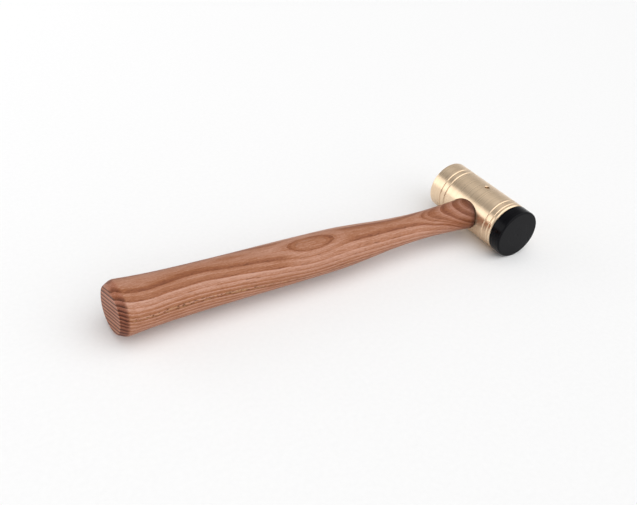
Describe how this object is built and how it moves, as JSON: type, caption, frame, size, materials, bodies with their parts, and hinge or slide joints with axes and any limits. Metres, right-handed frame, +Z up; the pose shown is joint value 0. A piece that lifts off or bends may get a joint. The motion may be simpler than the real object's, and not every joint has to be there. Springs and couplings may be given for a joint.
{
  "type": "carving mallet",
  "caption": "Small mallet: a cylindrical brass head with one soft polymer striking face, pinned across a slim-necked oval wooden handle that swells into the grip.",
  "frame": {"origin": "on the surface the mallet lies on, under the middle of its length and width", "axes": "+X from the butt to the head, along the handle; +Y along the head's own axis, from the polymer face to the brass face; +Z up"},
  "size_m": [0.2686, 0.0672, 0.032],
  "materials": {
    "turned_brass": "fine turned satin",
    "black_polymer": "turned satin",
    "stud_steel": "bright",
    "pin_brass": "dull satin",
    "handle_wood": "oiled satin, open grain"
  },
  "bodies": {
    "root": {"head_body": "turned_brass", "polymer_face": "black_polymer", "face_stud": "stud_steel", "head_pin": "pin_brass", "handle": "handle_wood"}
  },
  "joints": []
}
